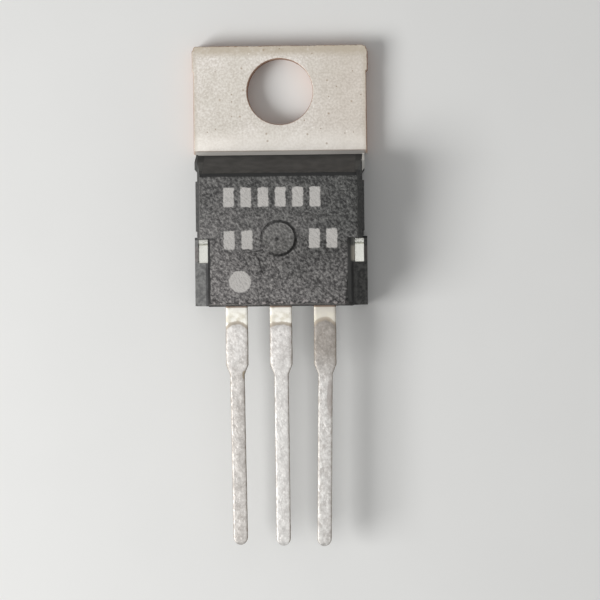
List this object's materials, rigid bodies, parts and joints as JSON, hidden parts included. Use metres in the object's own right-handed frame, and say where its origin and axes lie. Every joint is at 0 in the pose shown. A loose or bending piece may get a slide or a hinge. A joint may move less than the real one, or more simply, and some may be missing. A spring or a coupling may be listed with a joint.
{
  "type": "power transistor",
  "caption": "Through-hole power transistor: flat moulded package with a slanted end and side slots, on a drilled metal tab, with straight flat leads in a row.",
  "frame": {"origin": "on the axis of the tab's mounting hole, at the tab's back face", "axes": "+Z along the hole's axis, out of the front face; +Y towards the free end of the tab, with the leads running to -Y; +X to the right of someone who looks at the front with the leads down"},
  "size_m": [0.0102, 0.029, 0.0044],
  "materials": {
    "plated_header": "matt nickel plating over copper, with bare copper showing on sheared edges",
    "dipped_lead": "smooth plating beside the moulding and frosty dipped solder from there to the tip",
    "moulding": "black moulded epoxy, fine spark texture on the front and smooth on the slanted end",
    "silicon": "polished",
    "solder": "dull",
    "bond_wire": "bright drawn wire"
  },
  "bodies": {
    "root": {"heatsink_tab": "plated_header", "base_lead": "dipped_lead", "emitter_lead": "dipped_lead", "transistor_die": "silicon", "die_solder": "solder", "base_wire": "bond_wire", "emitter_wire": "bond_wire", "molded_body": "moulding"}
  },
  "joints": []
}
